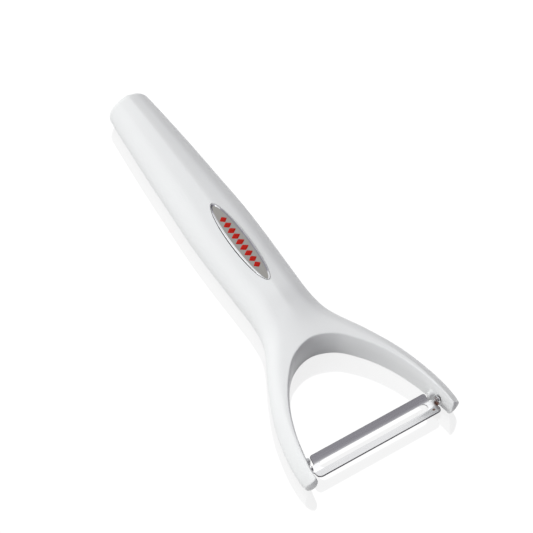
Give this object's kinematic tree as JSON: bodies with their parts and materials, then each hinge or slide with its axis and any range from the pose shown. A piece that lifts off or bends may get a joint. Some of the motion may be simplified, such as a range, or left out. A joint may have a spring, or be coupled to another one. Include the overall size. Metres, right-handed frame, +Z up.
{
  "type": "vegetable peeler",
  "caption": "Y-shaped vegetable peeler with a moulded white handle and fork, an oval badge let into the top, and a slotted steel blade that swivels between the arms.",
  "frame": {"origin": "under the middle of the peeler's length, on the surface it lies on", "axes": "+Y from the blade towards the end of the handle, +X along the blade, +Z up out of the badge"},
  "size_m": [0.0648, 0.1784, 0.0162],
  "materials": {
    "white_plastic": "injection moulded, satin gloss",
    "cover_plastic": "injection moulded, fine matt",
    "tape_foam": "die-cut foam tape",
    "badge_metal": "brushed lengthwise",
    "red_enamel": "cast resin enamel",
    "rim_metal": "polished",
    "blade_steel": "bright rolled",
    "pin_steel": "turned"
  },
  "bodies": {
    "handle": {"handle_shell": "white_plastic", "handle_cover": "cover_plastic", "badge_tape": "tape_foam", "badge_plate": "badge_metal", "badge_enamel": "red_enamel", "badge_bezel": "rim_metal"},
    "swivel_blade": {"blade": "blade_steel", "pivot_pin_left": "pin_steel", "pivot_pin_right": "pin_steel"}
  },
  "joints": [
    {"name": "blade_swivel", "type": "hinge", "parent": "handle", "child": "swivel_blade", "pos_m": [0, -0.0813, 0.0061], "axis": [1, 0, 0], "range_deg": [-25, 25]}
  ]
}
